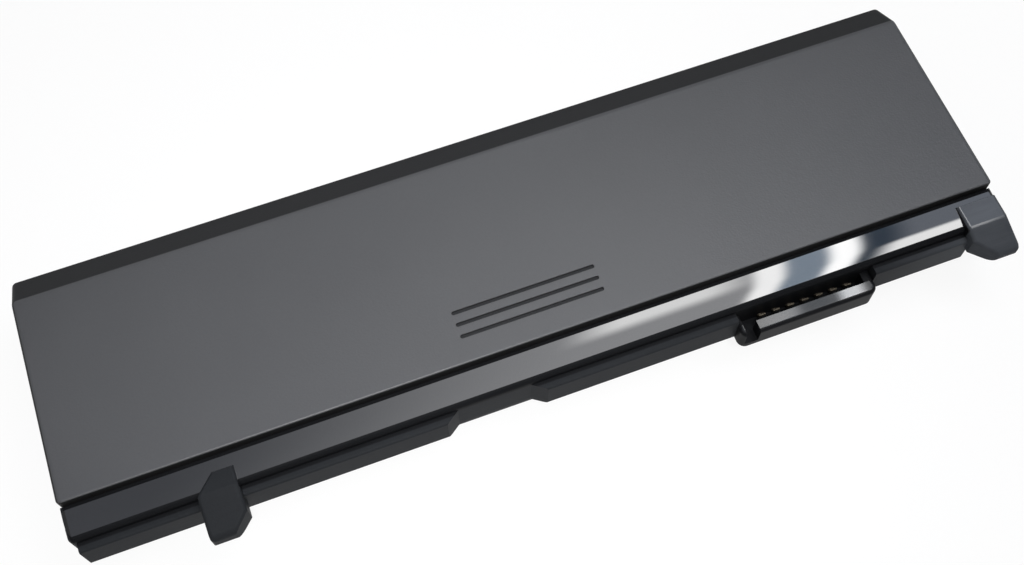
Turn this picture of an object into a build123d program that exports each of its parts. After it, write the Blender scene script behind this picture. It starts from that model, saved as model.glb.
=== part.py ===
from build123d import *
import os

os.makedirs("parts", exist_ok=True)

# Cells: sealed cans lying along X, three in line and three rows side by side
cell_dia = 18.1
cell_length = 65.2
row_names = ("rear", "centre", "front")
column_names = ("left", "middle", "right")
row_gap = 0.2
link_gap = 0.8

# Cell can: crimp shoulder and positive cap
crimp_chamfer = 0.7
cap_dia = 8.0
cap_height = 0.6

# Insulating ring on the positive shoulder of each can
ring_thickness = 0.25
ring_inset = 0.9
ring_fit = 0.5

# Housing walls and the room they leave around the cells
wall = 1.2
floor_fit = 0.2
head_room = 0.3
rear_fit = 0.15
bore_fit = 0.1
end_space = 3.7
board_space = 3.15
seam_height = 12.0
foot_round = 9.0
end_round = 1.2

# Lap joint inside the seam of the two shells
lap_height = 1.0
lap_thickness = 0.55
lap_fit = 0.05

# Cradle ribs between the rows, on the floor of the case
rib_height = 4.0
rib_thickness = 1.2
rib_spread = 40.0
rib_fit = 0.3

# Cover: face, sloped rear band and grip grooves
face_setback = 7.4
face_edge = 0.5
band_run = 7.0
band_drop = 4.0
band_top_round = 2.0
band_foot_round = 1.2
grip_count = 3
grip_length = 32.0
grip_width = 0.9
grip_depth = 0.45
grip_pitch = 2.8
grip_setback = 5.9
grip_shift = -1.5

# Ledge in front of the face, and the reveal groove between them
ledge_drop = 2.1
ledge_fall = 0.9
ledge_edge = 1.25
groove_width = 0.9
groove_depth = 0.5
tongue_lap = 0.5

# Guide rail along the front wall, below the ledge's edge, with the latch notch
rail_drop = 1.6
rail_proud = 2.1
rail_height = 8.4
rail_edge = 0.6
rail_end = 1.3
notch_shift = -14.8
notch_width = 16.0
notch_ramp = 3.0

# Hook near the left end and lug at the right end, both grown out of the ledge
hook_from_end = 30.4
hook_width = 8.6
hook_reach = 9.1
hook_bevel = 3.5
hook_depth = 6.6
hook_root = 4.2
lug_width = 9.6
lug_reach = 7.6
lug_bevel = 4.4
lug_depth = 5.4
lug_root = 5.6
lug_inset = 0.2
lug_lap = 0.8
arm_rise = 0.5
arm_fall = 1.6
arm_nose = 1.8
arm_edge = 0.8

# Connector block in the front wall
connector_length = 32.0
connector_from_end = 32.0
connector_proud = 4.9
connector_fit = 0.1
connector_flange = 1.4
connector_corner = 1.8
lip_thickness = 2.7
lip_drop = 2.4
lip_edge = 1.0
trough_width = 2.4
trough_floor = 1.5
trough_end = 2.3
key_wall = 1.0
key_width = 3.1

# Contacts: bent strips from the board into the trough
contact_count = 7
contact_pitch = 3.4
contact_width = 1.5
contact_strip = 0.35
contact_fit = 0.03
contact_rise = 1.1
contact_stand = 0.75
contact_bend = 0.5
contact_recess = 2.2

# Circuit board on edge behind the front wall, and the sheet that backs it
board_length = 86.0
board_width = 10.4
board_thickness = 0.8
board_from_end = 14.5
board_rear_gap = 0.35
sheet_thickness = 0.2
sheet_slot_fit = 0.15
stop_thickness = 1.2
stop_inset = 2.5
stop_gap = 0.2

# Parts on the board: length, width and height, and the places of those beyond the connector
package_height = 1.0
package_chamfer = 0.2
lead_width = 0.4
lead_reach = 0.7
lead_thickness = 0.2
lead_pitch = 1.0
gauge_size = 6.4
guard_length = 6.0
guard_width = 4.4
sensor_length = 6.4
sensor_width = 3.2
sensor_height = 0.6
fuse_length = 4.2
fuse_width = 2.6
fuse_height = 0.9
fuse_drop = 3.4
power_length = 4.6
power_width = 5.0
power_offset = 3.8
power_pitch = 5.4
capacitor_length = 2.0
capacitor_width = 1.2
capacitor_height = 0.8
capacitor_count = 3
capacitor_pitch = 3.0

# Nickel strips that join the cells
strip_thickness = 0.25
strip_width = 8.0
strip_margin = 4.5
strip_bend = 0.2
tab_length = 6.0
weld_slit = 0.6
weld_slit_length = 5.0

# End insulators and foam pads
end_sheet_thickness = 0.3
end_sheet_margin = 0.8
pad_margin = 3.0
pad_fit = 0.1

# Wires in the space in front of the cells
lead_dia = 1.6
lead_rise = 2.2
sense_dia = 1.0
sense_drop = 2.2
solder_length = 6.0
bead_dia = 2.4
bead_length = 4.4
bead_clear = 5.0
bead_edge = 0.6
bead_lead_dia = 0.6
bead_lead_gap = 1.0

# Places worked out from the sizes above
rows = len(row_names)
columns = len(column_names)
cell_radius = cell_dia / 2
row_pitch = cell_dia + row_gap
column_pitch = cell_length + link_gap
stack_end = (columns * column_pitch - link_gap) / 2
axis_z = wall + floor_fit + cell_radius
height = axis_z + cell_radius + head_room + wall
inner_length = 2 * (stack_end + end_space)
length = inner_length + 2 * wall
depth = rows * row_pitch - row_gap + rear_fit + board_space + 2 * wall
x_end = length / 2
y_front = -depth / 2
y_back = depth / 2
inner_front = y_front + wall
row_y = [y_back - wall - rear_fit - cell_radius - i * row_pitch for i in range(rows)]
column_x = [(i - (columns - 1) / 2) * column_pitch for i in range(columns)]
cells_front = row_y[-1] - cell_radius
rows_mid = (row_y[0] + row_y[-1]) / 2

y_face = y_front + face_setback
z_ledge = height - ledge_drop
z_groove = z_ledge - groove_depth
z_ledge_edge = z_ledge - ledge_fall
z_rail_top = z_ledge_edge - rail_drop
z_rail_foot = z_rail_top - rail_height
y_rail = y_front - rail_proud

hook_x = hook_from_end - x_end
lug_x = x_end - lug_inset - lug_width / 2

connector_right = x_end - connector_from_end
connector_left = connector_right - connector_length
y_connector = y_front - connector_proud
y_lip = y_connector + lip_thickness
y_trough = y_lip + trough_width
z_lip = z_rail_top - lip_drop
z_trough = z_rail_foot + trough_floor
trough_left = connector_left + key_wall
trough_right = connector_right - trough_end
lip_left = trough_left + key_width

board_back = cells_front - board_rear_gap
board_face = board_back - board_thickness
board_right = x_end - board_from_end
board_left = board_right - board_length
board_mid = (board_left + board_right) / 2
strip_foot = axis_z - strip_width / 2
wire_stop = board_left + solder_length

corner = (Align.MIN, Align.MIN)


def keep(piece, name):
    """Labels a finished piece and writes it."""
    piece.part.label = name
    export_step(piece.part, f"parts/{name}.step")


def on_board(x, z):
    """The plane of the board's front face at one place, facing the front wall."""
    return Plane(origin=(x, board_face, z), x_dir=(1, 0, 0), z_dir=(0, -1, 0))


# Section of the whole housing across its length
with BuildSketch(Plane.YZ) as body_section:
    with BuildLine():
        TangentArc((y_face, z_ledge), (y_front, z_ledge_edge), tangent=(-1, 0))
        Polyline(
            (y_front, z_ledge_edge),
            (y_front, 0),
            (y_back, 0),
            (y_back, height - band_drop),
            (y_back - band_run, height),
            (y_face, height),
            (y_face, z_ledge),
        )
    make_face()
    fillet(body_section.vertices().group_by(Axis.Y)[0], radius=foot_round)
    fillet(body_section.vertices().group_by(Axis.X)[0].sort_by(Axis.Y)[-1], radius=ledge_edge)
    fillet(body_section.vertices().group_by(Axis.X)[-1].sort_by(Axis.Y)[-1], radius=band_foot_round)
    fillet(body_section.vertices().group_by(Axis.Y)[-1].sort_by(Axis.X)[-1], radius=band_top_round)
    fillet(body_section.vertices().group_by(Axis.Y)[-1].sort_by(Axis.X)[0], radius=face_edge)

# The room inside, one wall thickness in from the outer section
with BuildSketch(Plane.YZ) as cavity_section:
    add(body_section.sketch_local)
    offset(amount=-wall, kind=Kind.INTERSECTION)

# The cover takes the section behind the groove and above the seam, the case takes the rest
with BuildSketch(Plane.YZ) as cover_section:
    add(body_section.sketch_local)
    with Locations((y_face, seam_height)):
        Rectangle(depth, height, align=corner, mode=Mode.INTERSECT)

with BuildSketch(Plane.YZ) as case_section:
    add(body_section.sketch_local)
    with Locations((y_face, seam_height)):
        Rectangle(depth, height, align=corner, mode=Mode.SUBTRACT)
    with Locations((y_face - groove_width, z_groove)):
        Rectangle(groove_width, height, align=corner, mode=Mode.SUBTRACT)

# Bore that keeps both shells clear of the front row of cells
with BuildSketch(Plane.YZ) as front_bore:
    with Locations((row_y[-1], axis_z)):
        Circle(cell_radius + bore_fit)


def lap_plan(grow):
    """Plan of the lap lip along the ends and the rear, grown by a clearance on its outer side."""
    reach = lap_thickness + grow
    run = y_back - wall - y_face
    with BuildSketch(Plane.XY.offset(seam_height)) as plan:
        with Locations((0, y_face)):
            Rectangle(inner_length + 2 * reach, run + reach, align=(Align.CENTER, Align.MIN))
            Rectangle(inner_length, run, align=(Align.CENTER, Align.MIN), mode=Mode.SUBTRACT)
    return plan.sketch


# Top cover
with BuildPart() as top_cover:
    extrude(cover_section.sketch, amount=length / 2, both=True)
    end_outlines = top_cover.faces().filter_by(Axis.X).edges()
    fillet(
        end_outlines.filter_by(
            lambda edge: edge.center().Y > y_face + face_edge / 2 and edge.center().Z > seam_height + wall
        ),
        radius=end_round,
    )
    extrude(cavity_section.sketch, amount=inner_length / 2, both=True, mode=Mode.SUBTRACT)
    extrude(front_bore.sketch, amount=inner_length / 2, both=True, mode=Mode.SUBTRACT)
    # The front lip ends above the tongue of the case
    with BuildSketch(Plane.YZ) as lip_relief:
        with Locations((y_face, seam_height)):
            Rectangle(wall, z_groove - seam_height, align=corner)
    extrude(lip_relief.sketch, amount=inner_length / 2, both=True, mode=Mode.SUBTRACT)
    # Rebate for the lap lip
    extrude(lap_plan(lap_fit), amount=lap_height + lap_fit, mode=Mode.SUBTRACT)
    # Grip grooves with half-round ends, cut into the face near its front edge
    with BuildSketch(Plane.XY.offset(height)):
        with Locations((grip_shift, y_face + grip_setback + (grip_count - 1) * grip_pitch / 2)):
            with GridLocations(0, grip_pitch, 1, grip_count):
                SlotOverall(grip_length, grip_width)
    extrude(amount=-grip_depth, mode=Mode.SUBTRACT)
keep(top_cover, "top_cover")


def arm(plan_points, back, reach, thickness):
    """A tongue that rises on the ledge and reaches out over the rail: a plan cut to a side profile."""
    root = y_front + back
    tip = y_front - reach
    foot = z_ledge - thickness
    inside = y_front + wall / 2
    under = z_ledge - wall / 2
    with BuildPart() as tongue:
        with BuildSketch(Plane.XY.offset(foot)) as plan:
            with BuildLine():
                Polyline(*plan_points, close=True)
            make_face()
            fillet(plan.vertices().group_by(Axis.Y)[0], radius=arm_nose / 2)
        extrude(amount=height - foot)
        with BuildSketch(Plane.YZ) as side:
            with BuildLine():
                Polyline(
                    (root, under),
                    (root - arm_rise, z_ledge + arm_rise),
                    (y_front, z_ledge + arm_rise),
                    (tip, z_ledge - arm_fall),
                    (tip, foot),
                    (inside, foot),
                    (inside, under),
                    close=True,
                )
            make_face()
            fillet(side.vertices().group_by(Axis.X)[0], radius=arm_nose)
        extrude(side.sketch, amount=length, both=True, mode=Mode.INTERSECT)
        crown = tongue.faces().filter_by(lambda face: face.normal_at().Z > abs(face.normal_at().Y))
        fillet(crown.edges().filter_by(Axis.X, reverse=True), radius=arm_edge)
    return tongue.part


hook_half = hook_width / 2
hook_outline = (
    (hook_x + hook_half, y_front + hook_root),
    (hook_x + hook_half, y_front - hook_reach + hook_bevel),
    (hook_x + hook_half - hook_bevel, y_front - hook_reach),
    (hook_x - hook_half, y_front - hook_reach),
    (hook_x - hook_half, y_front),
    (hook_x - hook_half + hook_root, y_front + hook_root),
)
lug_half = lug_width / 2
lug_outline = (
    (lug_x + lug_half, y_front + lug_root),
    (lug_x + lug_half, y_front - lug_reach),
    (lug_x - lug_half + lug_bevel, y_front - lug_reach),
    (lug_x - lug_half, y_front - lug_reach + lug_bevel),
    (lug_x - lug_half, y_front + lug_root),
)

# Runs of the rail: from, to, and the length of the ramp at each end
notch_left = notch_shift - notch_width / 2
notch_right = notch_shift + notch_width / 2
rail_runs = (
    (rail_end - x_end, notch_left, 0, notch_ramp),
    (notch_right, connector_left - connector_fit, notch_ramp, 0),
    (connector_right + connector_fit, lug_x - lug_half + lug_lap, 0, 0),
)

# Bottom case
with BuildPart() as bottom_case:
    extrude(case_section.sketch, amount=length / 2, both=True)
    end_outlines = bottom_case.faces().filter_by(Axis.X).edges()
    fillet(
        end_outlines.filter_by(
            lambda edge: edge.center().Z < seam_height - wall / 2
            or edge.center().Y < y_face - groove_width * 2
        ),
        radius=end_round,
    )
    for start, stop, ramp_in, ramp_out in rail_runs:
        with BuildSketch(Plane.XY.offset(z_rail_foot)):
            with BuildLine():
                Polyline(
                    (start, y_front + wall / 2),
                    (start, y_front),
                    (start + ramp_in, y_rail),
                    (stop - ramp_out, y_rail),
                    (stop, y_front),
                    (stop, y_front + wall / 2),
                    close=True,
                )
            make_face()
        extrude(amount=rail_height)
    fillet(bottom_case.edges().filter_by(Axis.X).group_by(Axis.Y)[0], radius=rail_edge)
    add(arm(hook_outline, hook_root, hook_reach, hook_depth))
    add(arm(lug_outline, lug_root, lug_reach, lug_depth))
    extrude(cavity_section.sketch, amount=inner_length / 2, both=True, mode=Mode.SUBTRACT)
    # Tongue under the front lip of the cover
    with BuildSketch(Plane.YZ) as tongue_section:
        with Locations((y_face - groove_width, z_ledge - wall)):
            Rectangle(groove_width + tongue_lap, wall - groove_depth, align=corner)
    extrude(tongue_section.sketch, amount=inner_length / 2, both=True)
    extrude(front_bore.sketch, amount=inner_length / 2, both=True, mode=Mode.SUBTRACT)
    # Lap lip that stands inside the cover
    extrude(lap_plan(0), amount=lap_height)
    # Cradle ribs in the valleys between the rows
    for x in column_x:
        for side in (-1, 1):
            with BuildSketch(Plane.YZ.offset(x + side * rib_spread / 2 - rib_thickness / 2)):
                with Locations((row_y[-1], wall / 2)):
                    Rectangle(row_y[0] - row_y[-1], rib_height + wall / 2, align=corner)
                with Locations(*((y, axis_z) for y in row_y)):
                    Circle(cell_radius + rib_fit, mode=Mode.SUBTRACT)
            extrude(amount=rib_thickness)
    # Board stops on the inside of the front wall
    for x in (board_left + stop_inset, board_right - stop_inset):
        with BuildSketch(Plane.YZ.offset(x - stop_thickness / 2)):
            add(cavity_section.sketch_local)
            with Locations((inner_front, 0)):
                Rectangle(board_face - inner_front, strip_foot - stop_gap, align=corner, mode=Mode.INTERSECT)
        extrude(amount=stop_thickness)
    # Opening for the connector
    with BuildSketch(Plane.XZ.offset(-inner_front - board_space)):
        with Locations((connector_left - connector_fit, z_rail_foot - connector_fit)):
            Rectangle(
                connector_length + 2 * connector_fit, rail_height + 2 * connector_fit, align=corner
            )
    extrude(amount=board_space + wall + rail_proud, mode=Mode.SUBTRACT)
keep(bottom_case, "bottom_case")

# Contact places along the trough
contact_mid = (lip_left + trough_right) / 2
contact_z = z_trough + contact_rise
contact_x = [contact_mid + (i - (contact_count - 1) / 2) * contact_pitch for i in range(contact_count)]

# Connector housing
with BuildPart() as connector_housing:
    with BuildSketch(Plane.XY.offset(z_rail_foot)) as block_plan:
        with Locations((connector_left, y_connector)):
            Rectangle(connector_length, board_face - y_connector, align=corner)
        fillet(block_plan.vertices().group_by(Axis.Y)[0], radius=connector_corner)
    extrude(amount=z_lip - z_rail_foot)
    with BuildSketch(Plane.XY.offset(z_rail_foot)):
        with Locations((connector_left, y_trough)):
            Rectangle(connector_length, board_face - y_trough, align=corner)
    extrude(amount=rail_height)
    fillet(
        connector_housing.faces().filter_by(Axis.Z).sort_by(Axis.Y)[0].edges().filter_by(
            lambda edge: edge.center().Y < y_lip
        ),
        radius=lip_edge,
    )
    # Flange behind the front wall
    with BuildSketch(Plane.XZ.offset(-board_face)):
        with Locations((connector_left - connector_flange, z_rail_foot + wall)):
            Rectangle(connector_length + 2 * connector_flange, rail_height - 2 * wall, align=corner)
    extrude(amount=board_face - inner_front)
    # Trough and keyway
    with BuildSketch(Plane.XY.offset(z_trough)):
        with Locations((trough_left, y_lip)):
            Rectangle(trough_right - trough_left, trough_width, align=corner)
        with Locations((trough_left, y_connector)):
            Rectangle(key_width, lip_thickness, align=corner)
    extrude(amount=rail_height, mode=Mode.SUBTRACT)
    # Slots for the contact tails
    with BuildSketch(Plane.XZ.offset(-board_face)):
        with Locations(*((x, contact_z) for x in contact_x)):
            Rectangle(contact_width + 2 * contact_fit, contact_strip + 2 * contact_fit)
    extrude(amount=board_face - y_trough, mode=Mode.SUBTRACT)
keep(connector_housing, "connector_housing")

# Connector contacts
with BuildPart() as connector_contacts:
    for x in contact_x:
        with BuildSketch(Plane.YZ.offset(x - contact_width / 2)):
            with BuildLine():
                FilletPolyline(
                    (board_face, contact_z),
                    (y_trough - contact_stand, contact_z),
                    (y_trough - contact_stand, z_lip - contact_recess),
                    radius=contact_bend,
                )
            trace(line_width=contact_strip)
        extrude(amount=contact_width)
keep(connector_contacts, "connector_contacts")

# Places of the strips in X: on the outer ends, and in the gaps between the cells in line
half_strip = strip_thickness / 2
strip_rear = row_y[0] + strip_margin
strip_front = row_y[-1] - strip_margin
negative_x = -stack_end - half_strip
positive_x = stack_end + half_strip
gap_x = [(column_x[i] + column_x[i + 1]) / 2 for i in range(columns - 1)]
leaf_offset = link_gap / 2 - half_strip
left_leaf = gap_x[0] + leaf_offset
right_leaf = gap_x[-1] + leaf_offset


def bent_strip(points):
    """A nickel strip on edge along a bent path, slit over each row of cells for welding."""
    with BuildPart() as strip:
        with BuildSketch(Plane.XY.offset(strip_foot)):
            with BuildLine():
                FilletPolyline(*points, radius=strip_bend)
            trace(line_width=strip_thickness)
        extrude(amount=strip_width)
        with BuildSketch(Plane.YZ) as slits:
            with Locations(*((y, axis_z) for y in row_y)):
                Rectangle(weld_slit, weld_slit_length)
        extrude(slits.sketch, amount=length, both=True, mode=Mode.SUBTRACT)
    return strip


# Nickel plates: one on each end of the stack, and a folded link in each gap
plates = {
    "negative_plate": (
        (negative_x, strip_rear),
        (negative_x, board_face + half_strip),
        (negative_x + tab_length, board_face + half_strip),
    ),
    "left_link_plate": (
        (gap_x[0] - leaf_offset, strip_front),
        (gap_x[0] - leaf_offset, strip_rear),
        (left_leaf, strip_rear),
        (left_leaf, board_face + half_strip),
        (left_leaf + tab_length, board_face + half_strip),
    ),
    "right_link_plate": (
        (gap_x[-1] - leaf_offset, strip_front),
        (gap_x[-1] - leaf_offset, strip_rear),
        (right_leaf, strip_rear),
        (right_leaf, board_back),
    ),
    "positive_plate": (
        (positive_x, strip_rear),
        (positive_x, board_face - half_strip),
        (board_right - tab_length, board_face - half_strip),
    ),
}
for name, path in plates.items():
    keep(bent_strip(path), name)


def cell(x, y):
    """One sealed can along X with its positive cap at +X, in the row at y."""
    seat = Plane(origin=(x - cell_length / 2, y, axis_z))
    shoulder = cell_length - cap_height
    with BuildPart() as can:
        with BuildSketch(seat) as half:
            with BuildLine():
                Polyline(
                    (0, 0),
                    (0, cell_radius),
                    (shoulder, cell_radius),
                    (shoulder, cap_dia / 2),
                    (cell_length, cap_dia / 2),
                    (cell_length, 0),
                    close=True,
                )
            make_face()
            chamfer(half.vertices().group_by(Axis.Y)[-1].sort_by(Axis.X)[-1], length=crimp_chamfer)
        revolve(axis=Axis(seat.origin, (1, 0, 0)))
    return can


for row_name, y in zip(row_names, row_y):
    for column_name, x in zip(column_names, column_x):
        keep(cell(x, y), f"cell_{row_name}_{column_name}")

# Insulating rings on the positive shoulders
with BuildPart() as insulator_rings:
    for x in column_x:
        with BuildSketch(Plane.YZ.offset(x + cell_length / 2 - cap_height)):
            with Locations(*((y, axis_z) for y in row_y)):
                Circle(cell_radius - ring_inset)
                Circle(cap_dia / 2 + ring_fit, mode=Mode.SUBTRACT)
        extrude(amount=ring_thickness)
keep(insulator_rings, "insulator_rings")


def end_layer(x, margin, thickness):
    """A sheet with round ends over the cell ends, from x outwards by its thickness."""
    breadth = cell_dia - 2 * margin
    with BuildPart() as layer:
        with BuildSketch(Plane.YZ.offset(x)):
            with Locations((rows_mid, axis_z)):
                SlotOverall((rows - 1) * row_pitch + breadth, breadth)
        extrude(amount=thickness)
    return layer


# Insulating sheets over the end plates, and foam pads between them and the end walls
sheet_x = stack_end + strip_thickness
pad_x = sheet_x + end_sheet_thickness
pad_thickness = inner_length / 2 - pad_x - pad_fit
keep(end_layer(-sheet_x, end_sheet_margin, -end_sheet_thickness), "left_end_sheet")
keep(end_layer(sheet_x, end_sheet_margin, end_sheet_thickness), "right_end_sheet")
keep(end_layer(-pad_x, pad_margin, -pad_thickness), "left_foam_pad")
keep(end_layer(pad_x, pad_margin, pad_thickness), "right_foam_pad")

# Circuit board
with BuildPart() as circuit_board:
    with BuildSketch(on_board(board_mid, axis_z)):
        Rectangle(board_length, board_width)
    extrude(amount=-board_thickness)
keep(circuit_board, "circuit_board")

# Sheet between the board and the cells, slit for the tab of the right link
with BuildPart() as board_sheet:
    with BuildSketch(on_board(board_mid, axis_z).offset(-board_thickness)):
        Rectangle(board_length, board_width)
        with Locations((right_leaf - board_mid, 0)):
            Rectangle(
                strip_thickness + 2 * sheet_slot_fit, strip_width + 2 * sheet_slot_fit, mode=Mode.SUBTRACT
            )
    extrude(amount=-sheet_thickness)
keep(board_sheet, "board_sheet")


def package(x, z, long, wide, leads):
    """A moulded chip on the board with a row of leads along each long side."""
    with BuildPart() as chip:
        with BuildSketch(on_board(x, z)):
            Rectangle(long, wide)
        extrude(amount=package_height)
        chamfer(chip.faces().sort_by(Axis.Y)[0].edges(), length=package_chamfer)
        with BuildSketch(on_board(x, z)):
            with GridLocations(lead_pitch, wide, leads, 2):
                Rectangle(lead_width, 2 * lead_reach)
        extrude(amount=lead_thickness)
    return chip


def slab(x, z, long, wide, tall):
    """A plain chip part on the board with softened top edges."""
    with BuildPart() as chip:
        with BuildSketch(on_board(x, z)):
            Rectangle(long, wide)
        extrude(amount=tall)
        chamfer(chip.faces().sort_by(Axis.Y)[0].edges(), length=package_chamfer)
    return chip


# Chips spread evenly between the ends of the wires and the flange of the connector
chip_lengths = (gauge_size, guard_length, sensor_length)
chip_room = connector_left - connector_flange - wire_stop
chip_gap = (chip_room - sum(chip_lengths)) / (len(chip_lengths) + 1)
gauge_x = wire_stop + chip_gap + gauge_size / 2
guard_x = gauge_x + gauge_size / 2 + chip_gap + guard_length / 2
sensor_x = guard_x + guard_length / 2 + chip_gap + sensor_length / 2
gauge_leads = int(gauge_size / lead_pitch)
guard_leads = int(guard_length / lead_pitch)
power_leads = int(power_length / lead_pitch)
keep(package(gauge_x, axis_z, gauge_size, gauge_size, gauge_leads), "gauge_chip")
keep(package(guard_x, axis_z, guard_length, guard_width, guard_leads), "protection_chip")
keep(slab(sensor_x, axis_z + sensor_width / 2, sensor_length, sensor_width, sensor_height), "sense_resistor")
keep(slab(sensor_x, axis_z - fuse_drop, fuse_length, fuse_width, fuse_height), "chip_fuse")

# Power transistors on the other side of the connector
for i, name in enumerate(("charge_transistor", "discharge_transistor")):
    power_x = connector_right + power_offset + i * power_pitch
    keep(package(power_x, axis_z, power_length, power_width, power_leads), name)

# Capacitors below the protection chip
with BuildPart() as capacitors:
    with BuildSketch(on_board(guard_x, axis_z - guard_width)):
        with GridLocations(capacitor_pitch, 0, capacitor_count, 1):
            Rectangle(capacitor_length, capacitor_width)
    extrude(amount=capacitor_height)
keep(capacitors, "capacitors")


def straight_wire(x, y, z, dia, run):
    """A round wire along X from x, with its centre line at y and z."""
    with BuildPart() as wire:
        with BuildSketch(Plane.YZ.offset(x)):
            with Locations((y, z)):
                Circle(dia / 2)
        extrude(amount=run)
    return wire


# Wires laid along the front row, from the tabs of the strips to the face of the board
lead_start = negative_x + strip_bend + strip_thickness
sense_start = left_leaf + strip_bend + strip_thickness
negative_lead = straight_wire(
    lead_start, board_face - lead_dia / 2, axis_z + lead_rise, lead_dia, wire_stop - lead_start
)
keep(negative_lead, "negative_lead")
sense_wire = straight_wire(
    sense_start, board_face - sense_dia / 2, axis_z - sense_drop, sense_dia, wire_stop - sense_start
)
keep(sense_wire, "sense_wire")

# Temperature sensor against the front middle cell, its two leads on the board
sensor_start = board_left - bead_clear - bead_length
with BuildPart() as temperature_sensor:
    with BuildSketch(Plane.YZ.offset(sensor_start)):
        with Locations((cells_front - bead_dia / 2, axis_z)):
            Circle(bead_dia / 2)
    extrude(amount=bead_length)
    chamfer(temperature_sensor.edges().filter_by(GeomType.CIRCLE), length=bead_edge)
    with BuildSketch(Plane.YZ.offset(sensor_start + bead_length / 2)):
        with Locations((board_face - bead_lead_dia / 2, axis_z)):
            with GridLocations(0, bead_lead_gap, 1, 2):
                Circle(bead_lead_dia / 2)
    extrude(amount=wire_stop - sensor_start - bead_length / 2)
keep(temperature_sensor, "temperature_sensor")
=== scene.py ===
"""Dresses the solids of a laptop battery with their finishes, and sets its floor, lamps and camera."""

import math

import bpy
from bpy.props import FloatProperty, FloatVectorProperty, IntProperty, PointerProperty
from mathutils import Matrix, Vector


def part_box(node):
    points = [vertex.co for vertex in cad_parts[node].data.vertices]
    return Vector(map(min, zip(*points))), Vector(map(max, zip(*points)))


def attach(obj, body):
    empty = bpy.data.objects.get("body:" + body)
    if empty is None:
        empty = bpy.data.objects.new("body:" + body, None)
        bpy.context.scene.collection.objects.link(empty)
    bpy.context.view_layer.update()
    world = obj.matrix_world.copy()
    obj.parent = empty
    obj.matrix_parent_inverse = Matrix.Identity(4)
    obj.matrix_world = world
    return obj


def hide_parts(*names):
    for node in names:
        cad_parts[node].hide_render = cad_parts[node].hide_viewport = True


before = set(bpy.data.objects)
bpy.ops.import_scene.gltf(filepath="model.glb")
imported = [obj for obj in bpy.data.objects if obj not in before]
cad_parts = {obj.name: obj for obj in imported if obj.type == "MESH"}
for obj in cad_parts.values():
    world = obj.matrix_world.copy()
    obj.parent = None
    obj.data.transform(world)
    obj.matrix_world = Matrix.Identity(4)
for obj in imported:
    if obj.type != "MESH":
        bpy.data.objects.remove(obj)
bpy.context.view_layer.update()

bl_info = {
    "name": "Laptop battery",
    "version": (1, 0, 0),
    "blender": (4, 5, 0),
    "location": "3D View > Sidebar > Battery",
    "description": "Dresses the solids of a laptop battery and sets its stage",
    "category": "Object",
}

MM = 0.001

# Sizes of the mouldings that their boxes don't give
GROOVE_WIDTH = 0.9 * MM
HOOK_REACH = 9.1 * MM
ARM_RISE = 0.5 * MM
LUG_LEFT = 92 * MM
LIP_DROP = 2.4 * MM
LIP_THICKNESS = 2.7 * MM

# Places read from the solids
COVER_LOW, COVER_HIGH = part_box("top_cover")
CASE_LOW, CASE_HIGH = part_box("bottom_case")
HOUSING_LOW, HOUSING_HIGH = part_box("connector_housing")
CONTACT_LOW, CONTACT_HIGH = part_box("connector_contacts")
RAIL_TOP = HOUSING_HIGH.z
SEAM = COVER_LOW.z
FACE_FRONT = COVER_LOW.y
GROOVE_FRONT = FACE_FRONT - GROOVE_WIDTH
LEDGE_FRONT = CASE_LOW.y + HOOK_REACH
LEDGE_TOP = CASE_HIGH.z - ARM_RISE
LIP_TOP = RAIL_TOP - LIP_DROP
LIP_BACK = HOUSING_LOW.y + LIP_THICKNESS

# Nodes that share a finish
CELLS = [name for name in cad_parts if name.startswith("cell_")]
CHIPS = ["gauge_chip", "protection_chip", "charge_transistor", "discharge_transistor"]
PLATES = ["negative_plate", "left_link_plate", "right_link_plate", "positive_plate"]
END_SHEETS = ["left_end_sheet", "right_end_sheet"]
FOAM_PADS = ["left_foam_pad", "right_foam_pad"]


class Signal:
    """A value that runs through a node tree. Arithmetic on it adds Math nodes."""

    def __init__(self, graph, socket):
        self.graph = graph
        self.socket = socket

    def math(self, operation, first, second):
        return self.graph.node("ShaderNodeMath", {"operation": operation}, {0: first, 1: second})

    def __add__(self, other):
        return self.math("ADD", self, other)

    def __radd__(self, other):
        return self.math("ADD", other, self)

    def __sub__(self, other):
        return self.math("SUBTRACT", self, other)

    def __rsub__(self, other):
        return self.math("SUBTRACT", other, self)

    def __mul__(self, other):
        return self.math("MULTIPLY", self, other)

    def __rmul__(self, other):
        return self.math("MULTIPLY", other, self)

    def __abs__(self):
        return self.math("ABSOLUTE", self, 0.0)

    def rise(self, low, high):
        """0 below low, 1 above high and smooth between them."""
        ends = {"Value": self, "From Min": low, "From Max": high}
        return self.graph.node("ShaderNodeMapRange", {"interpolation_type": "SMOOTHSTEP"}, ends)

    def within(self, low, high, soft):
        """1 between low and high, with soft shoulders."""
        return self.rise(low - soft, low + soft) * (1 - self.rise(high - soft, high + soft))


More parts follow.
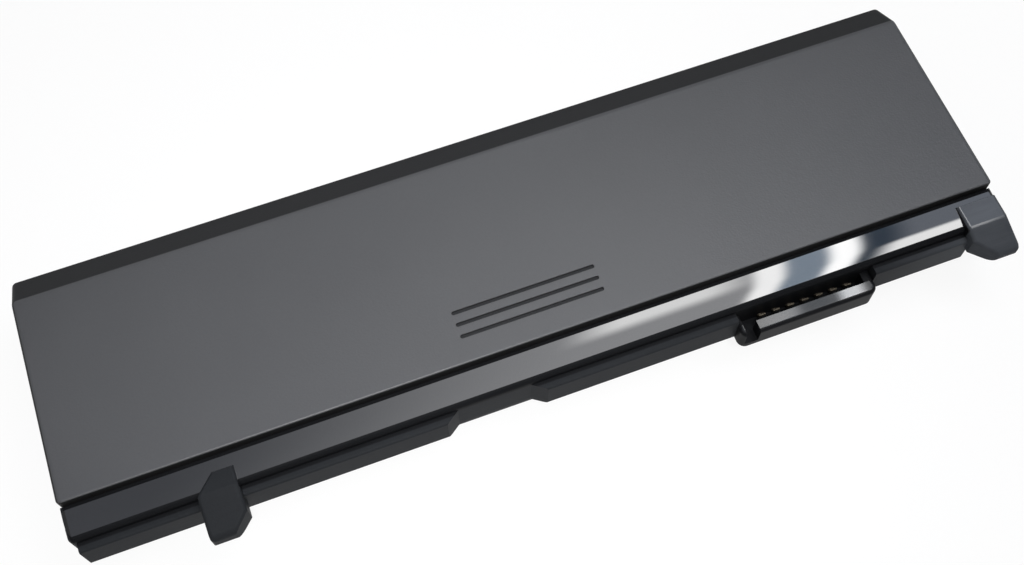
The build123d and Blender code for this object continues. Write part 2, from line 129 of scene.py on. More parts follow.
class Graph:
    """A node tree while it is being built."""

    def __init__(self, tree):
        self.tree = tree
        tree.nodes.clear()

    def node(self, kind, settings=None, sockets=None, output=0):
        """Adds a node, sets its settings, then its sockets, and gives one of its outputs."""
        made = self.tree.nodes.new(kind)
        for name, value in (settings or {}).items():
            setattr(made, name, value)
        for key, value in (sockets or {}).items():
            if isinstance(value, Signal):
                self.tree.links.new(value.socket, made.inputs[key])
            else:
                made.inputs[key].default_value = value
        return Signal(self, made.outputs[output]) if len(made.outputs) else made

    def place(self):
        """The piece's own coordinates, in metres."""
        return self.node("ShaderNodeTexCoord", output="Object")

    def axes(self, vector):
        """The three parts of a vector."""
        parts = self.node("ShaderNodeSeparateXYZ", sockets={0: vector}).socket.node
        return [Signal(self, socket) for socket in parts.outputs]

    def stretch(self, vector, scale):
        """A vector with its parts scaled one by one."""
        return self.node("ShaderNodeMapping", {"vector_type": "POINT"}, {"Vector": vector, "Scale": scale})

    def noise(self, vector, size, detail=2.0):
        """Cloudy noise from 0 to 1 with features of that size."""
        sockets = {"Vector": vector, "Scale": 1 / size, "Detail": detail}
        return self.node("ShaderNodeTexNoise", sockets=sockets)

    def cells(self, vector, size):
        """Distance to the nearest of many scattered points, that far apart."""
        return self.node("ShaderNodeTexVoronoi", sockets={"Vector": vector, "Scale": 1 / size})

    def mix(self, share, first, second):
        """A colour between two colours."""
        return self.node("ShaderNodeMix", {"data_type": "RGBA"}, {0: share, 6: first, 7: second}, output=2)

    def bump(self, height, depth):
        """A normal for a relief of that depth."""
        return self.node("ShaderNodeBump", sockets={"Height": height, "Distance": depth})

    def plastic(self, sockets):
        """Ends the tree in the standard surface."""
        surface = self.node("ShaderNodeBsdfPrincipled", sockets=sockets)
        self.node("ShaderNodeOutputMaterial", sockets={"Surface": surface})


def new_material(name):
    """An empty material and its graph."""
    material = bpy.data.materials.new(name)
    material.use_nodes = True
    return material, Graph(material.node_tree)


def shaded(colour, factor):
    """A colour made darker or lighter, as the four numbers of a colour socket."""
    return (*(min(1.0, channel * factor) for channel in colour), 1.0)


def dress(names, material):
    """Gives a finish to solids of the frame."""
    for name in names:
        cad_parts[name].material_slots[0].material = material


def seam_shade_line(y, z):
    """1 on the parting line between the shells, 0 away from it: where a painted shade line and a sunken
    bump are laid.
    """
    return (1 - abs(z - SEAM).rise(0.08 * MM, 0.2 * MM)) * y.rise(FACE_FRONT - 0.1 * MM, FACE_FRONT)


def cover_charcoal(look):
    """Matt charcoal plastic: fine moulded grain, cloudy tone and ends worn paler; darker band and walls,
    partly their own tone and partly painted shade; painted shade on the front step wall and along the
    parting line.
    """
    material, graph = new_material("cover_charcoal")
    place = graph.place()
    x, y, z = graph.axes(place)
    grain = graph.noise(place, look.grain_size, detail=3.0)
    cloud = graph.noise(place, 38 * MM, detail=3.0)
    # Rubbing wear: the cover's ends are paler and a little glossier in patches.
    wear_and_painted_light = abs(x).rise(COVER_HIGH.x - 2.2 * MM, COVER_HIGH.x - 0.4 * MM) * cloud
    tone = 0.6 * cloud + 0.3 * grain + 0.2 * wear_and_painted_light
    # The face takes the charcoal colour; the rear band and walls below it take a far darker colour, partly
    # their own tone and partly painted shade where they slope or face away from the light.
    face = z.rise(COVER_HIGH.z - 0.3 * MM, COVER_HIGH.z - 0.1 * MM)
    # Painted shade: a near-black line along the parting line between the shells, with a sunken bump.
    seam_shade = seam_shade_line(y, z)
    # Painted shade: the cover's front step wall is coloured near-black, as if in the shadow of a gap.
    groove_shade = 1 - y.rise(FACE_FRONT + 0.05 * MM, FACE_FRONT + 0.3 * MM)
    charcoal = graph.mix(tone, shaded(look.cover_colour, 0.85), shaded(look.cover_colour, 1.18))
    side = graph.mix(tone, shaded(look.side_and_shade_colour, 0.8), shaded(look.side_and_shade_colour, 1.25))
    side = graph.mix(groove_shade, side, shaded(look.side_and_shade_colour, 0.2))
    graph.plastic({
        "Base Color": graph.mix(seam_shade, graph.mix(face, side, charcoal), shaded(look.side_and_shade_colour, 0.2)),
        "Roughness": look.cover_roughness + 0.3 * (1 - face) + 0.1 * (cloud - 0.5) - 0.08 * wear_and_painted_light,
        "Specular IOR Level": 0.4,
        "Normal": graph.bump(grain - 4 * seam_shade, look.grain_depth),
    })
    return material


def case_black(look):
    """Black plastic: a polished ledge, with satin walls, rail and arms round it; painted shade under the
    ledge's front edge and along the parting line, and paler patches towards the right end, partly rubbing
    wear and partly painted light.
    """
    material, graph = new_material("case_black")
    place = graph.place()
    x, y, z = graph.axes(place)
    grain = graph.noise(place, look.grain_size, detail=3.0)
    cloud = graph.noise(place, 24 * MM, detail=3.0)
    scuffs = graph.noise(graph.stretch(place, (0.12, 1.0, 1.0)), 0.9 * MM, detail=4.0)
    inboard = 1 - abs(x).rise(CASE_HIGH.x - 0.8 * MM, CASE_HIGH.x - 0.3 * MM)
    # Black zone: the polished ledge, plus painted shade on the step wall under the ledge's front edge and
    # on the rail's top next to that wall.
    front = y.rise(LEDGE_FRONT - 0.95 * MM, LEDGE_FRONT - 0.6 * MM)
    ledge_and_crease_shade = z.within(RAIL_TOP - 0.12 * MM, LEDGE_TOP + 0.07 * MM, 0.05 * MM) * front * inboard
    ledge = ledge_and_crease_shade * z.rise(LEDGE_TOP - 0.69 * MM, LEDGE_TOP - 0.66 * MM)
    ledge = ledge * (1 - y.rise(GROOVE_FRONT - 0.08 * MM, GROOVE_FRONT))
    lug = z.rise(LEDGE_TOP + 0.3 * MM, LEDGE_TOP + 0.45 * MM) * x.rise(LUG_LEFT, LUG_LEFT + 1 * MM)
    gloss = ledge + 0.5 * lug
    # Painted shade: a darker line along the parting line between the shells, with a sunken bump.
    seam_shade = seam_shade_line(y, z)
    tone = 0.6 * cloud + 0.4 * scuffs
    black = graph.mix(tone, shaded(look.ledge_colour, 0.7), shaded(look.ledge_colour, 1.4))
    satin = graph.mix(tone, shaded(look.case_colour, 0.75), shaded(look.case_colour, 1.3))
    # Painted light: exposed satin faces towards the right end, beyond the key lamp's pool, are made much
    # paler in noise patches that also read as rubbing wear.
    above = z.rise(LEDGE_TOP + 0.05 * MM, LEDGE_TOP + 0.2 * MM)
    exposed = above + (1 - front) * (1 - above)
    wear_and_painted_light = x.rise(70 * MM, 100 * MM) * exposed * (0.7 * cloud + 0.3 * scuffs)
    satin = graph.mix(wear_and_painted_light, satin, shaded(look.case_colour, 5.0))
    graph.plastic({
        "Base Color": graph.mix(seam_shade, graph.mix(ledge_and_crease_shade, satin, black), shaded(look.ledge_colour, 0.5)),
        "Roughness": 0.5 + 0.14 * (cloud - 0.5) + 0.1 * (scuffs - 0.5),
        "Specular IOR Level": 0.03,
        "Coat Weight": gloss,
        "Coat Roughness": 0.04,
        "Coat IOR": 1.8,
        "Normal": graph.bump(grain * (1 - gloss) - 4 * seam_shade, look.grain_depth),
    })
    return material


def connector_black(look):
    """Satin black plastic of the connector, with an unevenly polished top of its lip."""
    material, graph = new_material("connector_black")
    place = graph.place()
    x, y, z = graph.axes(place)
    cloud = graph.noise(place, 9 * MM, detail=3.0)
    grain = graph.noise(place, 0.3 * MM, detail=2.0)
    lip = (1 - y.rise(LIP_BACK, LIP_BACK + 0.1 * MM)) * z.rise(LIP_TOP - 0.25 * MM, LIP_TOP - 0.1 * MM)
    run = x - HOUSING_LOW.x
    near = 1 - run.rise(13.5 * MM, 17 * MM)
    far = run.within(25 * MM, 30.4 * MM, 1.7 * MM)
    polish = lip * (0.2 + 0.24 * near + 0.85 * far)
    graph.plastic({
        "Base Color": graph.mix(cloud, shaded(look.ledge_colour, 0.7), shaded(look.ledge_colour, 1.3)),
        "Roughness": 0.45 + 0.16 * (cloud - 0.5),
        "Specular IOR Level": 0.05,
        "Coat Weight": polish,
        "Coat Roughness": 0.12,
        "Coat IOR": 1.8,
        "Normal": graph.bump(grain * (1 - lip), 0.006 * MM),
    })
    return material


def moulded(name, colour, roughness, grain_size, grain_depth):
    """Plain small mouldings, ceramics and coatings: cloudy tone, fine grain and uneven gloss."""
    material, graph = new_material(name)
    place = graph.place()
    cloud = graph.noise(place, 6 * MM, detail=3.0)
    grain = graph.noise(place, grain_size)
    graph.plastic({
        "Base Color": graph.mix(0.7 * cloud + 0.3 * grain, shaded(colour, 0.75), shaded(colour, 1.3)),
        "Roughness": roughness + 0.15 * (cloud - 0.5),
        "Normal": graph.bump(grain, grain_depth),
    })
    return material


def contact_metal():
    """Plated strip, worn along its length, its colour made very dark: partly tarnish and partly painted
    shade of the deep trough it sits in.
    """
    material, graph = new_material("contact_metal")
    place = graph.place()
    rub = graph.noise(graph.stretch(place, (1.0, 0.15, 0.15)), 0.15 * MM, detail=3.0)
    cloud = graph.noise(place, 2 * MM)
    graph.plastic({
        # Very dark metal colour: partly tarnish, partly painted shade of the deep trough.
        "Base Color": graph.mix(cloud, (0.09, 0.078, 0.06, 1.0), (0.15, 0.13, 0.1, 1.0)),
        "Metallic": 1.0,
        "Roughness": 0.45 + 0.2 * rub,
        "Normal": graph.bump(rub, 0.004 * MM),
    })
    return material


def nickel_strip():
    """Rolled nickel: fine lines along the strip and a faint stain."""
    material, graph = new_material("nickel_strip")
    place = graph.place()
    lines = graph.noise(graph.stretch(place, (1.0, 0.05, 1.0)), 0.12 * MM, detail=3.0)
    stain = graph.noise(place, 7 * MM, detail=3.0)
    graph.plastic({
        "Base Color": graph.mix(stain, (0.58, 0.55, 0.5, 1.0), (0.76, 0.74, 0.7, 1.0)),
        "Metallic": 1.0,
        "Roughness": 0.24 + 0.2 * lines + 0.1 * stain,
        "Normal": graph.bump(lines, 0.004 * MM),
    })
    return material


def cell_sleeve():
    """Shrunk film over the can: smooth, slightly rippled along the length."""
    material, graph = new_material("cell_sleeve")
    place = graph.place()
    ripple = graph.noise(graph.stretch(place, (0.2, 1.0, 1.0)), 3 * MM, detail=2.0)
    cloud = graph.noise(place, 16 * MM, detail=2.0)
    graph.plastic({
        "Base Color": graph.mix(cloud, (0.045, 0.21, 0.27, 1.0), (0.075, 0.3, 0.36, 1.0)),
        "Roughness": 0.24 + 0.15 * ripple,
        "Normal": graph.bump(ripple, 0.06 * MM),
    })
    return material


def board_green():
    """Green lacquer over copper runs on a fibre board."""
    material, graph = new_material("board_green")
    place = graph.place()
    z = graph.axes(place)[2]
    wave = graph.noise(graph.stretch(place, (0.3, 1.0, 1.0)), 4 * MM, detail=1.0)
    runs = graph.node("ShaderNodeMath", {"operation": "PINGPONG"}, {0: z + 0.0012 * wave, 1: 0.6 * MM})
    copper = runs.rise(0.26 * MM, 0.34 * MM) * (1 - wave.rise(0.52, 0.56))
    fibre = graph.noise(place, 0.4 * MM, detail=2.0)
    graph.plastic({
        "Base Color": graph.mix(copper, (0.012, 0.1, 0.035, 1.0), (0.04, 0.2, 0.07, 1.0)),
        "Roughness": 0.3 + 0.15 * fibre,
        "Normal": graph.bump(copper + 0.15 * fibre, 0.03 * MM),
    })
    return material


def fibre_paper(name, colour):
    """Pressed paper or card with short fibres."""
    material, graph = new_material(name)
    place = graph.place()
    fibres = graph.noise(graph.stretch(place, (1.0, 0.3, 1.0)), 0.35 * MM, detail=4.0)
    cloud = graph.noise(place, 5 * MM)
    graph.plastic({
        "Base Color": graph.mix(0.5 * fibres + 0.5 * cloud, shaded(colour, 0.8), shaded(colour, 1.15)),
        "Roughness": 0.75 + 0.15 * fibres,
        "Normal": graph.bump(fibres, 0.03 * MM),
    })
    return material


def foam_grey():
    """Closed-cell foam with small open bubbles on its cut faces."""
    material, graph = new_material("foam_grey")
    place = graph.place()
    bubbles = graph.cells(place, 0.5 * MM)
    cloud = graph.noise(place, 5 * MM)
    graph.plastic({
        "Base Color": graph.mix(bubbles, (0.05, 0.05, 0.053, 1.0), (0.13, 0.13, 0.135, 1.0)),
        "Roughness": 0.8 + 0.15 * cloud,
        "Normal": graph.bump(bubbles, 0.15 * MM),
    })
    return material


class BatteryFinish(bpy.types.PropertyGroup):
    """Colours and grain of the shells."""

    cover_colour: FloatVectorProperty(
        name="Cover colour", description="Colour of the charcoal face", subtype="COLOR",
        min=0, max=1, default=(0.078, 0.079, 0.084),
    )
    # Partly the walls' own darker tone, partly painted shade on the rear band and walls; also the base of
    # the painted shade on the front step wall and along the parting line.
    side_and_shade_colour: FloatVectorProperty(
        name="Side colour", description="Colour of the cover's rear band and walls", subtype="COLOR",
        min=0, max=1, default=(0.0085, 0.009, 0.0105),
    )
    cover_roughness: FloatProperty(
        name="Cover roughness", description="How matt the face is", subtype="FACTOR",
        min=0, max=1, default=0.4,
    )
    case_colour: FloatVectorProperty(
        name="Case colour", description="Colour of the case's satin walls, rail and arms", subtype="COLOR",
        min=0, max=1, default=(0.0205, 0.022, 0.0245),
    )
    ledge_colour: FloatVectorProperty(
        name="Ledge colour", description="Colour of the polished ledge and the connector", subtype="COLOR",
        min=0, max=1, default=(0.008, 0.0084, 0.0095),
    )
    grain_size: FloatProperty(
        name="Grain size", description="Width of one grain of the moulded texture", unit="LENGTH",
        default=0.45 * MM, precision=5,
    )
    grain_depth: FloatProperty(
        name="Grain depth", description="Height of the moulded texture", unit="LENGTH",
        default=0.03 * MM, precision=6,
    )


class BatteryContacts(bpy.types.PropertyGroup):
    """Sizes of the row of contacts."""

    count: IntProperty(name="Count", description="Contacts in the row", min=2, default=7)
    width: FloatProperty(
        name="Width", description="Width of one contact", unit="LENGTH", default=1.5 * MM, precision=5,
    )
    thickness: FloatProperty(
        name="Thickness", description="Thickness of the strip", unit="LENGTH",
        default=0.35 * MM, precision=5,
    )
    bend: FloatProperty(
        name="Bend", description="Radius of the strip's bend", unit="LENGTH", default=0.5 * MM, precision=5,
    )


class BatteryStage(bpy.types.PropertyGroup):
    """Camera, lamps and floor."""

    azimuth: FloatProperty(
        name="Azimuth", description="Turn of the camera round the battery", subtype="ANGLE",
        default=math.radians(-19.28),
    )
    elevation: FloatProperty(
        name="Elevation", description="Height of the camera above the horizon", subtype="ANGLE",
        default=math.radians(64.79),
    )
    roll: FloatProperty(
        name="Roll", description="Turn of the camera about its own line of sight", subtype="ANGLE",
        default=math.radians(-1.05),
    )
    distance: FloatProperty(
        name="Distance", description="From the camera to the point it aims at", unit="LENGTH",
        default=273.67 * MM, precision=5,
    )
    aim: FloatVectorProperty(
        name="Aim", description="Point on the face that the camera aims at", subtype="XYZ",
        default=(-3.17 * MM, -8.91 * MM, COVER_HIGH.z),
    )
    lens: FloatProperty(
        name="Lens", description="Focal length for a 36 mm wide sensor, in millimetres", default=45.7,
    )
    floor_colour: FloatVectorProperty(
        name="Floor colour", description="Colour of the floor", subtype="COLOR", min=0, max=1,
        default=(0.82, 0.82, 0.82),
    )
    key_power: FloatProperty(
        name="Key power", description="Power of the front lamp", subtype="POWER", default=14.6,
    )
    fill: FloatProperty(
        name="Fill", description="Strength of the even light from all round", default=0.25,
    )
    card_radiance: FloatProperty(
        name="Card radiance", description="Strength of the panes of the light card", default=11.0,
    )
    card_height: FloatProperty(
        name="Card height", description="Height of the light card above the floor", unit="LENGTH",
        default=0.7,
    )


class BATTERY_OT_cover(bpy.types.Operator):
    """Finish the top cover"""

    bl_idname = "battery.cover"
    bl_label = "Cover"

    def execute(self, context):
        dress(["top_cover"], cover_charcoal(context.scene.battery_finish))
        return {"FINISHED"}


class BATTERY_OT_case(bpy.types.Operator):
    """Finish the bottom case"""

    bl_idname = "battery.case"
    bl_label = "Case"

    def execute(self, context):
        dress(["bottom_case"], case_black(context.scene.battery_finish))
        return {"FINISHED"}


class BATTERY_OT_connector(bpy.types.Operator):
    """Finish the connector housing"""

    bl_idname = "battery.connector"
    bl_label = "Connector"

    def execute(self, context):
        dress(["connector_housing"], connector_black(context.scene.battery_finish))
        return {"FINISHED"}


def contact_row():
    """Tree that bends one flat strip and repeats it along a line, with the identifiers of its inputs."""
    tree = bpy.data.node_groups.new("contact_row", "GeometryNodeTree")
    tree.interface.new_socket("Row", in_out="OUTPUT", socket_type="NodeSocketGeometry")
    kinds = {
        "Count": "NodeSocketInt", "Pitch": "NodeSocketVector", "First": "NodeSocketVector",
        "Tail": "NodeSocketVector", "Corner": "NodeSocketVector", "Tip": "NodeSocketVector",
        "Width": "NodeSocketFloat", "Thickness": "NodeSocketFloat", "Bend": "NodeSocketFloat",
        "Finish": "NodeSocketMaterial",
    }
    keys = {
        name: tree.interface.new_socket(name, in_out="INPUT", socket_type=kind).identifier
        for name, kind in kinds.items()
    }
    graph = Graph(tree)
    entry = graph.node("NodeGroupInput").socket.node
    given = {name: Signal(graph, entry.outputs[name]) for name in kinds}
    straight = graph.node(
        "GeometryNodeCurvePrimitiveLine", {"mode": "POINTS"}, {"Start": given["Tail"], "End": given["Tip"]},
    )
    path = graph.node("GeometryNodeResampleCurve", {"mode": "COUNT"}, {"Curve": straight, "Count": 3})
    middle = graph.node(
        "FunctionNodeCompare", {"data_type": "INT", "operation": "EQUAL"},
        {2: graph.node("GeometryNodeInputIndex"), 3: 1},
    )
    path = graph.node(
        "GeometryNodeSetPosition",
        sockets={"Geometry": path, "Selection": middle, "Position": given["Corner"]},
    )
    path = graph.node(
        "GeometryNodeFilletCurve", {"mode": "POLY"}, {"Curve": path, "Count": 6, "Radius": given["Bend"]},
    )
    path = graph.node(
        "GeometryNodeSetCurveNormal", {"mode": "FREE"}, {"Curve": path, "Normal": (1.0, 0.0, 0.0)},
    )
    section = graph.node(
        "GeometryNodeCurvePrimitiveQuadrilateral", {"mode": "RECTANGLE"},
        {"Width": given["Width"], "Height": given["Thickness"]},
    )
    strip = graph.node(
        "GeometryNodeCurveToMesh", sockets={"Curve": path, "Profile Curve": section, "Fill Caps": True},
    )
    line = graph.node(
        "GeometryNodeMeshLine", {"mode": "OFFSET"},
        {"Count": given["Count"], "Start Location": given["First"], "Offset": given["Pitch"]},
    )
    row = graph.node("GeometryNodeInstanceOnPoints", sockets={"Points": line, "Instance": strip})
    row = graph.node("GeometryNodeRealizeInstances", sockets={"Geometry": row})
    row = graph.node("GeometryNodeSetMaterial", sockets={"Geometry": row, "Material": given["Finish"]})
    graph.node("NodeGroupOutput", sockets={"Row": row})
    return tree, keys


def grown(name, tree, values):
    """The plain mesh that a tree of nodes makes, as an object."""
    carrier = bpy.data.objects.new(f"{name}_carrier", bpy.data.meshes.new(f"{name}_carrier"))
    bpy.context.scene.collection.objects.link(carrier)
    modifier = carrier.modifiers.new(name, "NODES")
    modifier.node_group = tree
    for key, value in values.items():
        modifier[key] = value
    graph = bpy.context.evaluated_depsgraph_get()
    mesh = bpy.data.meshes.new_from_object(carrier.evaluated_get(graph))
    mesh.name = name
    bpy.data.objects.remove(carrier)
    if not mesh.polygons:
        raise RuntimeError(f"{name} came out empty")
    piece = bpy.data.objects.new(name, mesh)
    bpy.context.scene.collection.objects.link(piece)
    return piece


class BATTERY_OT_contacts(bpy.types.Operator):
    """Lay the row of bent contacts in the connector's trough"""

    bl_idname = "battery.contacts"
    bl_label = "Contacts"

    def execute(self, context):
        sizes = context.scene.battery_contacts
        half = sizes.thickness / 2
        foot, stem = CONTACT_LOW.z + half, CONTACT_LOW.y + half
        tree, keys = contact_row()
        values = {
            "Count": sizes.count,
            "Pitch": ((CONTACT_HIGH.x - CONTACT_LOW.x - sizes.width) / (sizes.count - 1), 0.0, 0.0),
            "First": (CONTACT_LOW.x + sizes.width / 2, 0.0, 0.0),
            "Tail": (0.0, CONTACT_HIGH.y, foot),
            "Corner": (0.0, stem, foot),
            "Tip": (0.0, stem, CONTACT_HIGH.z),
            "Width": sizes.width,
            "Thickness": sizes.thickness,
            "Bend": sizes.bend,
            "Finish": contact_metal(),
        }
        row = grown("contact_row", tree, {keys[name]: value for name, value in values.items()})
        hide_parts("connector_contacts")
        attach(row, "root")
        return {"FINISHED"}


class BATTERY_OT_cells(bpy.types.Operator):
    """Finish the cells, their rings and the strips that join them"""

    bl_idname = "battery.cells"
    bl_label = "Cells"

    def execute(self, context):
        dress(CELLS, cell_sleeve())
        dress(["insulator_rings"], fibre_paper("ring_card", (0.8, 0.78, 0.72)))
        dress(PLATES, nickel_strip())
        return {"FINISHED"}


class BATTERY_OT_board(bpy.types.Operator):
    """Finish the circuit board and the parts on it"""

    bl_idname = "battery.board"
    bl_label = "Board"

    def execute(self, context):
        dress(["circuit_board"], board_green())
        dress(["board_sheet"], moulded("sheet_amber", (0.5, 0.28, 0.06), 0.25, 0.6 * MM, 0.004 * MM))
        dress(CHIPS, moulded("chip_black", (0.03, 0.03, 0.032), 0.55, 0.12 * MM, 0.01 * MM))
        dress(["sense_resistor"], moulded("resistor_dark", (0.05, 0.05, 0.055), 0.3, 0.2 * MM, 0.006 * MM))
        dress(["chip_fuse"], moulded("fuse_white", (0.72, 0.71, 0.67), 0.5, 0.2 * MM, 0.006 * MM))
        dress(["capacitors"], moulded("capacitor_tan", (0.42, 0.32, 0.2), 0.5, 0.2 * MM, 0.006 * MM))
        return {"FINISHED"}


class BATTERY_OT_insulation(bpy.types.Operator):
    """Finish the end sheets and the foam pads"""

    bl_idname = "battery.insulation"
    bl_label = "Insulation"

    def execute(self, context):
        dress(END_SHEETS, fibre_paper("end_paper", (0.52, 0.55, 0.47)))
        dress(FOAM_PADS, foam_grey())
        return {"FINISHED"}


class BATTERY_OT_wires(bpy.types.Operator):
    """Finish the wires and the temperature sensor"""

    bl_idname = "battery.wires"
    bl_label = "Wires"

    def execute(self, context):
        dress(["negative_lead"], moulded("lead_black", (0.03, 0.03, 0.03), 0.45, 0.4 * MM, 0.008 * MM))
        dress(["sense_wire"], moulded("sense_yellow", (0.6, 0.44, 0.06), 0.45, 0.4 * MM, 0.008 * MM))
        dress(["temperature_sensor"], moulded("bead_epoxy", (0.04, 0.035, 0.03), 0.2, 0.5 * MM, 0.01 * MM))
        return {"FINISHED"}


# Floor: half its width, how far it lies below the pack, its brightness and the share that is plain white
FLOOR_HALF = 3.0
FLOOR_DROP = 0.1 * MM
FLOOR_GLOW = 1.03
FLOOR_SHARE = 0.88
WHITE = (1.0, 1.0, 1.0, 1.0)
DARK = (0.0, 0.0, 0.0, 1.0)

# Light card: half its width and depth, its middle, and the front and back edge of its glow
CARD_HALF = (0.7, 0.5)
CARD_MIDDLE = (0.2, 0.1)
CARD_FRONT, CARD_BACK, CARD_SOFT = -0.17, 0.27, 0.04

# Glow of the card: its left end, then the places along the ledge where each next colour starts and is full
GLOW_LEFT = (0.04, 0.042, 0.047, 1.0)
GLOWS = [
    (-84 * MM, 26 * MM, (0.23, 0.232, 0.24, 1.0)),
    (48.6 * MM, 52.6 * MM, (0.17, 0.21, 0.26, 1.0)),
    (66 * MM, 71 * MM, (0.016, 0.027, 0.042, 1.0)),
    (74.5 * MM, 83 * MM, (0.105, 0.115, 0.135, 1.0)),
]

# Panes of the card: from and to as places along the ledge that mirror them, front and back edge,
# softness of the sides and of the ends, strength
PANES = [
    (-42 * MM, 22 * MM, 0.28, 0.36, 0.06, 0.03, 0.2),
    (9 * MM, 41 * MM, 0.085, CARD_BACK, 0.03, 0.04, 0.68),
    (45.4 * MM, 52.3 * MM, CARD_FRONT, CARD_BACK, 0.007, 0.04, 0.92),
    (62.6 * MM, 69.4 * MM, CARD_FRONT, CARD_BACK, 0.007, 0.04, 1.1),
    (76 * MM, 106 * MM, CARD_FRONT, 0.015, 0.014, 0.03, 0.8),
]
PANE_LEAN = 0.093
PANE_ROOT = 0.22

# Key lamp: its place, what it points at, the angle of its cone and its size
KEY_PLACE = (-0.03, -0.28, 0.64)
KEY_AIM = (-0.03, -0.035, 0.02)
KEY_CONE = math.radians(22.5)
KEY_SIZE = 0.06


def add_plane(name, half_width, half_depth, centre):
    """A flat sheet of the stage, facing up."""
    corners = [(-1, -1), (1, -1), (1, 1), (-1, 1)]
    mesh = bpy.data.meshes.new(name)
    mesh.from_pydata(
        [(centre[0] + sx * half_width, centre[1] + sy * half_depth, centre[2]) for sx, sy in corners],
        [],
        [(0, 1, 2, 3)],
    )
    sheet = bpy.data.objects.new(name, mesh)
    bpy.context.scene.collection.objects.link(sheet)
    return sheet


def floor_white(stage):
    """Pale floor that looks white to the camera and in reflections, and keeps a soft shadow."""
    material, graph = new_material("floor_white")
    path = graph.node("ShaderNodeLightPath").socket.node
    seen = [Signal(graph, path.outputs[f"Is {kind} Ray"]) for kind in ("Camera", "Glossy", "Transmission")]
    diffuse = graph.node("ShaderNodeBsdfDiffuse", sockets={"Color": (*stage.floor_colour, 1.0)})
    glow = graph.node("ShaderNodeEmission", sockets={"Color": WHITE, "Strength": FLOOR_GLOW})
    share = FLOOR_SHARE * (seen[0] + seen[1] + seen[2])
    surface = graph.node("ShaderNodeMixShader", sockets={0: share, 1: diffuse, 2: glow})
    graph.node("ShaderNodeOutputMaterial", sockets={"Surface": surface})
    return material


def card_light(stage, eye):
    """Panes of soft light overhead, placed where the polished ledge mirrors them."""
    material, graph = new_material("card_light")
    x, y, _ = graph.axes(graph.place())
    rise = (stage.card_height - CASE_HIGH.z) / (eye.z - CASE_HIGH.z)

    def mirrored(place):
        return place + (place - eye.x) * rise

    along = x + PANE_LEAN * (PANE_ROOT - y)
    glow = GLOW_LEFT
    for start, full, colour in GLOWS:
        glow = graph.mix(along.rise(mirrored(start), mirrored(full)), glow, colour)
    glow = graph.mix(y.within(CARD_FRONT, CARD_BACK, CARD_SOFT), DARK, glow)
    for start, stop, front, back, side_soft, end_soft, strength in PANES:
        pane = along.within(mirrored(start), mirrored(stop), side_soft) * y.within(front, back, end_soft)
        glow = graph.mix(pane, glow, (strength, strength, strength, 1.0))
    shine = graph.node("ShaderNodeEmission", sockets={"Color": glow, "Strength": stage.card_radiance})
    graph.node("ShaderNodeOutputMaterial", sockets={"Surface": shine})
    return material


def add_lamp(name, kind, place, aim, power, **settings):
    """A lamp that points at a place."""
    data = bpy.data.lights.new(name, kind)
    data.energy = power
    for key, value in settings.items():
        setattr(data, key, value)
    lamp = bpy.data.objects.new(name, data)
    lamp.location = place
    lamp.rotation_euler = (Vector(aim) - Vector(place)).to_track_quat("-Z", "Y").to_euler()
    bpy.context.scene.collection.objects.link(lamp)
    return lamp


def studio_world(stage):
    """Even, dim surroundings."""
    world = bpy.data.worlds.new("studio")
    world.use_nodes = True
    graph = Graph(world.node_tree)
    shine = graph.node("ShaderNodeBackground", sockets={"Color": WHITE, "Strength": stage.fill})
    graph.node("ShaderNodeOutputWorld", sockets={"Surface": shine})
    return world


def add_camera(stage):
    """The camera at the photograph's viewing angle."""
    a, e = stage.azimuth, stage.elevation
    back = Vector((math.sin(a) * math.cos(e), -math.cos(a) * math.cos(e), math.sin(e)))
    right = Vector((math.cos(a), math.sin(a), 0.0))
    up = back.cross(right)
    turned_right = math.cos(stage.roll) * right + math.sin(stage.roll) * up
    turned_up = back.cross(turned_right)
    eye = Vector(stage.aim) + stage.distance * back
    data = bpy.data.cameras.new("camera")
    data.lens = stage.lens
    data.sensor_width = 36.0
    data.clip_start = 0.01
    camera = bpy.data.objects.new("camera", data)
    turn = Matrix((turned_right, turned_up, back)).transposed().to_4x4()
    camera.matrix_world = Matrix.Translation(eye) @ turn
    bpy.context.scene.collection.objects.link(camera)
    bpy.context.scene.camera = camera
    return eye


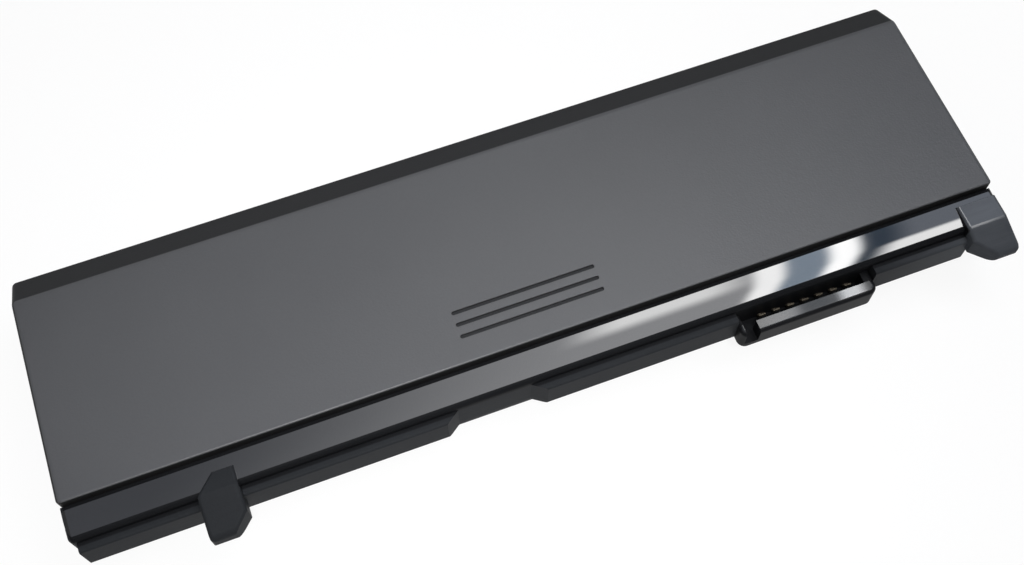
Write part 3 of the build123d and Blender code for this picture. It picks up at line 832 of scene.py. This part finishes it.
class BATTERY_OT_stage(bpy.types.Operator):
    """Set the floor, the lamps and the camera"""

    bl_idname = "battery.stage"
    bl_label = "Stage"

    def execute(self, context):
        stage = context.scene.battery_stage
        eye = add_camera(stage)
        floor = add_plane("floor", FLOOR_HALF, FLOOR_HALF, (0, 0, -FLOOR_DROP))
        floor.data.materials.append(floor_white(stage))
        card = add_plane("light_card", *CARD_HALF, (*CARD_MIDDLE, stage.card_height))
        card.data.materials.append(card_light(stage, eye))
        add_lamp(
            "key", "SPOT", KEY_PLACE, KEY_AIM, stage.key_power,
            spot_size=KEY_CONE, spot_blend=1.0, shadow_soft_size=KEY_SIZE,
        )
        context.scene.world = studio_world(stage)
        context.scene.view_settings.view_transform = "Standard"
        return {"FINISHED"}


class BATTERY_PT_panel(bpy.types.Panel):
    """Steps that dress the battery"""

    bl_label = "Battery"
    bl_idname = "BATTERY_PT_panel"
    bl_space_type = "VIEW_3D"
    bl_region_type = "UI"
    bl_category = "Battery"

    def draw(self, context):
        for step in STEPS:
            self.layout.operator(step.bl_idname)
        scene = context.scene
        for group in (scene.battery_finish, scene.battery_contacts, scene.battery_stage):
            for name in group.bl_rna.properties.keys():
                if name not in ("rna_type", "name"):
                    self.layout.prop(group, name)


STEPS = (
    BATTERY_OT_cover,
    BATTERY_OT_case,
    BATTERY_OT_connector,
    BATTERY_OT_contacts,
    BATTERY_OT_cells,
    BATTERY_OT_board,
    BATTERY_OT_insulation,
    BATTERY_OT_wires,
    BATTERY_OT_stage,
)
CLASSES = (BatteryFinish, BatteryContacts, BatteryStage, *STEPS, BATTERY_PT_panel)


def register():
    for item in CLASSES:
        bpy.utils.register_class(item)
    bpy.types.Scene.battery_finish = PointerProperty(type=BatteryFinish)
    bpy.types.Scene.battery_contacts = PointerProperty(type=BatteryContacts)
    bpy.types.Scene.battery_stage = PointerProperty(type=BatteryStage)


def unregister():
    del bpy.types.Scene.battery_stage
    del bpy.types.Scene.battery_contacts
    del bpy.types.Scene.battery_finish
    for item in reversed(CLASSES):
        bpy.utils.unregister_class(item)


def main():
    """Dresses the battery step by step."""
    register()
    bpy.ops.battery.cover()
    bpy.ops.battery.case()
    bpy.ops.battery.connector()
    bpy.ops.battery.contacts()
    bpy.ops.battery.cells()
    bpy.ops.battery.board()
    bpy.ops.battery.insulation()
    bpy.ops.battery.wires()
    bpy.ops.battery.stage()


if __name__ == "__main__":
    main()
